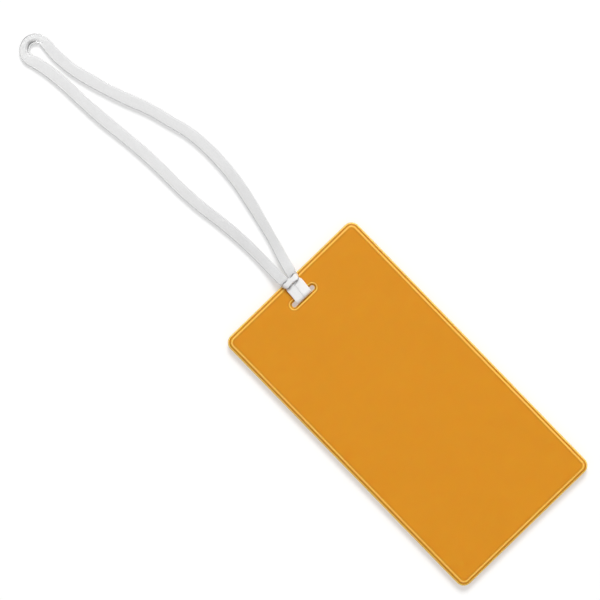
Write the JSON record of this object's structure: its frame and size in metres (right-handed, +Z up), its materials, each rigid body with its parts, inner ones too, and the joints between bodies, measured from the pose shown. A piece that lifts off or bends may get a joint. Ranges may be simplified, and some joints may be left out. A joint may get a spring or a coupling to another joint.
{
  "type": "luggage tag",
  "caption": "Flat rectangular luggage tag of welded orange vinyl with rounded corners, a rear address-card pocket and a clear moulded loop strap hitched through a slot at one end.",
  "frame": {"origin": "middle of the card's outline, on the surface that the tag lies on", "axes": "+X across the card, +Y along the card towards the slot and the strap, +Z up out of the card's face"},
  "size_m": [0.064, 0.2544, 0.0066],
  "materials": {
    "front_vinyl": "satin",
    "back_vinyl": "satin",
    "grey_board": "matte",
    "clear_film": "glossy",
    "card_stock": "matte",
    "clear_strap": "glossy"
  },
  "bodies": {
    "tag": {"front_panel": "front_vinyl", "back_panel": "back_vinyl", "stiffener_board": "grey_board", "pocket_window": "clear_film", "strap_hitch": "clear_strap"},
    "strap": {"strap_loop": "clear_strap"},
    "insert": {"address_card": "card_stock"}
  },
  "joints": [
    {"name": "strap_swing", "type": "hinge", "parent": "tag", "child": "strap", "pos_m": [0, 0.0653, 0.00465], "axis": [1, 0, 0], "range_deg": [-90, 110]},
    {"name": "address_slide", "type": "slide", "parent": "tag", "child": "insert", "axis": [1, 0, 0], "range_m": [0, 0.055]}
  ]
}
